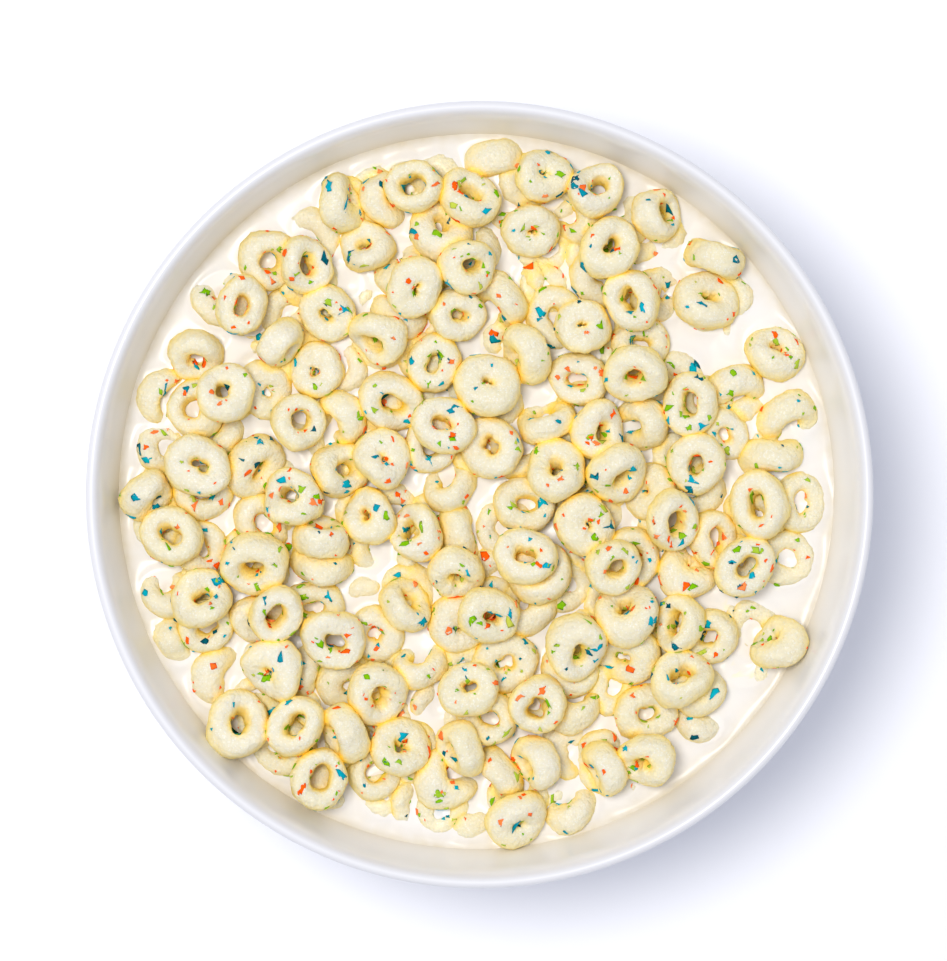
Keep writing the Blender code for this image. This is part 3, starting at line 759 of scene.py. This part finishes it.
def fleck_piece(name, count, radii, material, draw):
    """Closed chips on the rings: a middle, two rounds of corners on the surface and a point inside the
    ring."""
    ring = draw.integers(0, RING_COUNT, count)
    round_angle = draw.uniform(0, math.tau, count)
    tube_angle = draw.uniform(-UNDER_RING, math.pi + UNDER_RING, count)
    radius = (radii[0] + (radii[1] - radii[0]) * draw.random(count) ** SMALL_POWER) * MM
    length = draw.uniform(*FLECK_LENGTHS, count)
    turn = draw.uniform(0, math.tau, count)
    shifted = draw.uniform(0, math.tau, (count, FLECK_CORNERS)) * CORNER_SHIFT
    corner = np.sort(shifted + np.arange(FLECK_CORNERS) * math.tau / FLECK_CORNERS, axis=1)
    reach = draw.uniform(*CORNER_REACH, (count, FLECK_CORNERS))
    across = np.cos(corner) * reach * (radius * length)[:, None]
    upward = np.sin(corner) * reach * (radius / length)[:, None]
    across, upward = (
        across * np.cos(turn)[:, None] - upward * np.sin(turn)[:, None],
        across * np.sin(turn)[:, None] + upward * np.cos(turn)[:, None],
    )
    round_size = (tube_middle[ring] + tube_width[ring] * np.cos(tube_angle)).clip(LEAST_ROUND)[:, None]
    tube_size = ((tube_width[ring] + tube_height[ring]) / 2)[:, None]
    rounds = []
    for share, lift in FLECK_ROUNDS:
        columns = 1 if share == 0 else FLECK_CORNERS
        u = round_angle[:, None] + share * across[:, :columns] / round_size
        v = tube_angle[:, None] + share * upward[:, :columns] / tube_size
        who = np.repeat(ring[:, None], columns, 1)
        points, _ = ring_surface(who.ravel(), u.ravel(), v.ravel(), proud=FLECK_LIFT * lift)
        rounds.append(points.reshape(count, columns, 3))
    points = np.concatenate(rounds, axis=1)
    per_fleck = points.shape[1]
    faces = []
    for start in range(0, count * per_fleck, per_fleck):
        for i in range(FLECK_CORNERS):
            j = (i + 1) % FLECK_CORNERS
            inner, outer = start + 1, start + 1 + FLECK_CORNERS
            faces.append((start, inner + i, inner + j))
            faces.append((inner + i, outer + i, outer + j, inner + j))
            faces.append((outer + i, start + per_fleck - 1, outer + j))
    tone = np.repeat(draw.random(count) ** USUAL_POWER, per_fleck)
    return new_piece(name, points.reshape(-1, 3), faces, material, (("own_tone", tone),))


fleck_draw = np.random.default_rng(FLECK_SEED)
for name, (count, radii, main, other) in FLECK_KINDS.items():
    flecks = fleck_piece(name, count, radii, sugar(name, main, other), fleck_draw)
    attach(flecks, "root")


# The milk. Whole milk poured to about 17 mm below the rim. It climbs a little up the wall and round every
# ring that breaks its surface, and covers the sunk rings with a skin thin enough to see them through.

MILK_CELLS = 250
WALL_OVERLAP = 0.25 * MM

# How high it climbs, over what length that fades, how far from a ring it is worked out, and how much less
# it climbs at the wall where a ring is near
CLIMB_AT_WALL = 0.9 * MM
CLIMB_AT_RING = 0.75 * MM
CLIMB_LENGTH = 1.1 * MM
RING_ROOM = 5 * MM
LESS_BY_RINGS = 0.4

# The body under the surface: its gap from the bowl, and its rounds as shares of the way down
MILK_FLOOR_GAP = 0.3 * MM
BODY_ROUNDS = (0.03, 0.12, 0.3, 0.5, 0.7, 0.85, 0.95, 0.99)

# How deep a sunk ring still shows, over what length it fades, and how far from the wall grain and a painted
# shade of the wall still colour the milk
SEE_DEPTH = 2.5 * MM
SEE_LENGTH = 0.55 * MM
EDGE_FILM_AND_SHADE = 2.2 * MM

MILK_WHITE = (0.800, 0.792, 0.796, 1)
MILK_FILM_AND_SHADE_AT_WALL = (0.640, 0.570, 0.430, 1)
MILK_OVER_GRAIN = (0.920, 0.830, 0.600, 1)


def disc_grid(cells, radius):
    """x and y of a square grid that is drawn out to a disc, so that its outline is exactly the circle."""
    shaded_side = np.linspace(-1, 1, cells)
    across, up = np.meshgrid(shaded_side, shaded_side, indexing="ij")
    longest = np.maximum(np.abs(across), np.abs(up)) + 1e-12
    length = np.hypot(across, up) + 1e-12
    blend = longest**2
    scale = (longest / length) * blend + (1 - blend)
    return across * scale * radius, up * scale * radius


def milk_surface():
    """The surface of the milk as a grid: x, y, z, how much of a sunk ring shows through and how near the
    wall is, both from 0 to 1."""
    edge = float(inner_radius(MILK_LEVEL + CLIMB_AT_WALL)) + WALL_OVERLAP
    x, y = disc_grid(MILK_CELLS, edge)
    climb = np.zeros_like(x)
    for i in range(RING_COUNT):
        near = np.hypot(x - middles[i, 0], y - middles[i, 1]) < outer_radius[i] + RING_ROOM
        spot = np.stack([x[near], y[near], np.full(near.sum(), MILK_LEVEL)], -1)
        climb[near] = np.maximum(climb[near], np.exp(-gap_to_ring(spot, i) / CLIMB_LENGTH))
    to_wall = np.maximum(edge - WALL_OVERLAP - np.hypot(x, y), 0)
    wall_climb = CLIMB_AT_WALL * np.exp(-to_wall / CLIMB_LENGTH) * (1 - climb * LESS_BY_RINGS)
    z = MILK_LEVEL + CLIMB_AT_RING * climb + wall_climb
    graph = bpy.context.evaluated_depsgraph_get()
    trees = [BVHTree.FromObject(rings, graph) for rings in (top_rings, floating_rings, hanging_rings)]
    shows = np.zeros_like(x)
    for at in np.ndindex(*x.shape):
        start = Vector((x[at], y[at], z[at]))
        for tree in trees:
            place, _, _, depth = tree.ray_cast(start, Vector((0, 0, -1)), SEE_DEPTH)
            if place is not None:
                shows[at] = max(shows[at], math.exp(-depth / SEE_LENGTH))
    return x, y, z, shows, np.exp(-to_wall / EDGE_FILM_AND_SHADE)


def milk_body(material):
    """The milk as one closed body: the grid on top, and below it rounds that follow the inside of the
    bowl."""
    x, y, z, shows, at_wall = milk_surface()
    count = MILK_CELLS
    index = np.arange(count * count).reshape(count, count)
    quads = np.stack([index[:-1, :-1], index[1:, :-1], index[1:, 1:], index[:-1, 1:]], -1).reshape(-1, 4)
    outline = np.concatenate([index[:-1, 0], index[-1, :-1], index[1:, -1][::-1], index[0, 1:][::-1]])
    points = [np.stack([x.ravel(), y.ravel(), z.ravel()], -1)]
    angle = np.arctan2(y.ravel()[outline], x.ravel()[outline])
    faces = quads.tolist()
    above = outline
    total = count * count
    for share in BODY_ROUNDS:
        height = MILK_LEVEL + (FLOOR_HEIGHT + MILK_FLOOR_GAP - MILK_LEVEL) * share
        radius = float(inner_radius(height)) - MILK_FLOOR_GAP
        level = np.full(len(angle), height)
        points.append(np.stack([radius * np.cos(angle), radius * np.sin(angle), level], -1))
        below = np.arange(total, total + len(outline))
        total += len(outline)
        faces += np.stack([above, below, np.roll(below, -1), np.roll(above, -1)], -1).tolist()
        above = below
    points.append([[0, 0, FLOOR_HEIGHT + MILK_FLOOR_GAP]])
    faces += [(int(a), total, int(b)) for a, b in zip(above, np.roll(above, -1))]
    points = np.vstack(points)
    below = np.zeros(len(points) - count * count)
    numbers = (
        ("grain_below", np.concatenate([shows.ravel(), below])),
        ("at_wall", np.concatenate([at_wall.ravel(), below])),
    )
    return new_piece("milk_in_the_bowl", points, faces, material, numbers)


def whole_milk():
    """Whole milk: white and glossy, grain-coloured where a sunk ring is just under its skin, and darker and
    golden by the wall, where a film of grain is joined by painted shade of the wall and a painted reflection
    of the cereal."""
    made, place, wire = finish("whole_milk", {"IOR": 1.35})
    below = attribute(place, "grain_below")
    cloud = place.noise(2.5 * MM, detail=1.0)
    skin = (below + (cloud - 0.5) * 0.25 * below).ease(0.05, 0.95)
    # Painted shade and painted reflection of the cereal by the wall, with a film of grain.
    film_and_shade = (attribute(place, "at_wall") * (0.4 + cloud * 0.8)).held()
    wire(
        Base_Color=film_and_shade.mix((skin * 0.8).mix(MILK_WHITE, MILK_OVER_GRAIN), MILK_FILM_AND_SHADE_AT_WALL),
        Roughness=0.2 + cloud * 0.1,
        Normal=place.noise(6 * MM, detail=0.0).bump(0.12 * MM),
    )
    return made


milk = milk_body(whole_milk())
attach(milk, "root")
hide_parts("milk")


# The stage. A white table, a large soft lamp high on the left, white light all round, and the camera nearly
# overhead.

TABLE_HALF = 1.5
TABLE_WHITE = (0.865, 0.875, 0.915, 1)
TABLE_LIGHTER = (0.875, 0.885, 0.925, 1)
PHOTO_WIDTH, PHOTO_HEIGHT = 947, 961

# In pixels, the rim's middle and radius as a camera straight overhead would need them. The camera leans,
# and the rim then shows where the photograph has it, with its middle at (479.6, 494.6) and a radius of
# 393.8
RIM_MIDDLE_X, RIM_MIDDLE_Y = 481.4, 496.5
RIM_PIXELS = 394.8
CAMERA_DISTANCE = 0.9
CAMERA_TILT = math.radians(3.6)
CAMERA_HEADING = math.radians(135)
LAMP_HEADING = math.radians(150)
LAMP_HEIGHT = math.radians(75)
LAMP_DISTANCE = 1.4
LAMP_SIZE = 0.42
LAMP_POWER = 12.1
SKY_LOW = 0.53
SKY_HIGH = 0.68
LAMP_COLOUR = (1.03, 1.0, 0.955)
SKY_COLOUR = (0.94, 0.965, 1.08, 1)


def white_tabletop():
    """The table's smooth white top."""
    made, place, wire = finish("white_table", {"IOR": 1.3})
    grain = place.noise(40 * MM, detail=0.0)
    wire(Base_Color=grain.mix(TABLE_WHITE, TABLE_LIGHTER), Roughness=0.7 + grain * 0.1)
    return made


corners = [(x * TABLE_HALF, y * TABLE_HALF, 0) for x, y in ((-1, -1), (1, -1), (1, 1), (-1, 1))]
table = new_piece("table", corners, [(0, 1, 2, 3)], white_tabletop())

lamp_data = bpy.data.lights.new("lamp", "AREA")
lamp_data.shape = "DISK"
lamp_data.size = LAMP_SIZE
lamp_data.energy = LAMP_POWER
lamp_data.color = LAMP_COLOUR
lamp = bpy.data.objects.new("lamp", lamp_data)
lamp_side = Vector((
    math.cos(LAMP_HEADING) * math.cos(LAMP_HEIGHT),
    math.sin(LAMP_HEADING) * math.cos(LAMP_HEIGHT),
    math.sin(LAMP_HEIGHT),
))
lamp.location = lamp_side * LAMP_DISTANCE
lamp.rotation_euler = lamp_side.to_track_quat("Z", "Y").to_euler()
bpy.context.scene.collection.objects.link(lamp)

world = bpy.data.worlds.new("white_room")
world.use_nodes = True
sky = world.node_tree.nodes["Background"]
sky.inputs["Color"].default_value = SKY_COLOUR
upward = Signal(world.node_tree.nodes.new("ShaderNodeTexCoord").outputs["Generated"])
upward = upward.node("ShaderNodeSeparateXYZ", {}, {"Vector": upward}, output=2)
world.node_tree.links.new((SKY_LOW + upward.held() * (SKY_HIGH - SKY_LOW)).socket, sky.inputs["Strength"])
bpy.context.scene.world = world

metres_a_pixel = RIM_RADIUS / RIM_PIXELS
aim = Vector((
    (PHOTO_WIDTH / 2 - RIM_MIDDLE_X) * metres_a_pixel,
    (RIM_MIDDLE_Y - PHOTO_HEIGHT / 2) * metres_a_pixel,
    BOWL_HEIGHT,
))
away = Vector((
    math.cos(CAMERA_HEADING) * math.sin(CAMERA_TILT),
    math.sin(CAMERA_HEADING) * math.sin(CAMERA_TILT),
    math.cos(CAMERA_TILT),
))
sideways = Vector((0, 1, 0)).cross(away).normalized()
upwards = away.cross(sideways)
camera_data = bpy.data.cameras.new("camera")
camera_data.lens = camera_data.sensor_width * CAMERA_DISTANCE / (PHOTO_HEIGHT * metres_a_pixel)
camera = bpy.data.objects.new("camera", camera_data)
camera.matrix_world = (
    Matrix.Translation(aim + away * CAMERA_DISTANCE) @ Matrix((sideways, upwards, away)).transposed().to_4x4()
)
bpy.context.scene.collection.objects.link(camera)
bpy.context.scene.camera = camera
bpy.context.scene.view_settings.view_transform = "Standard"
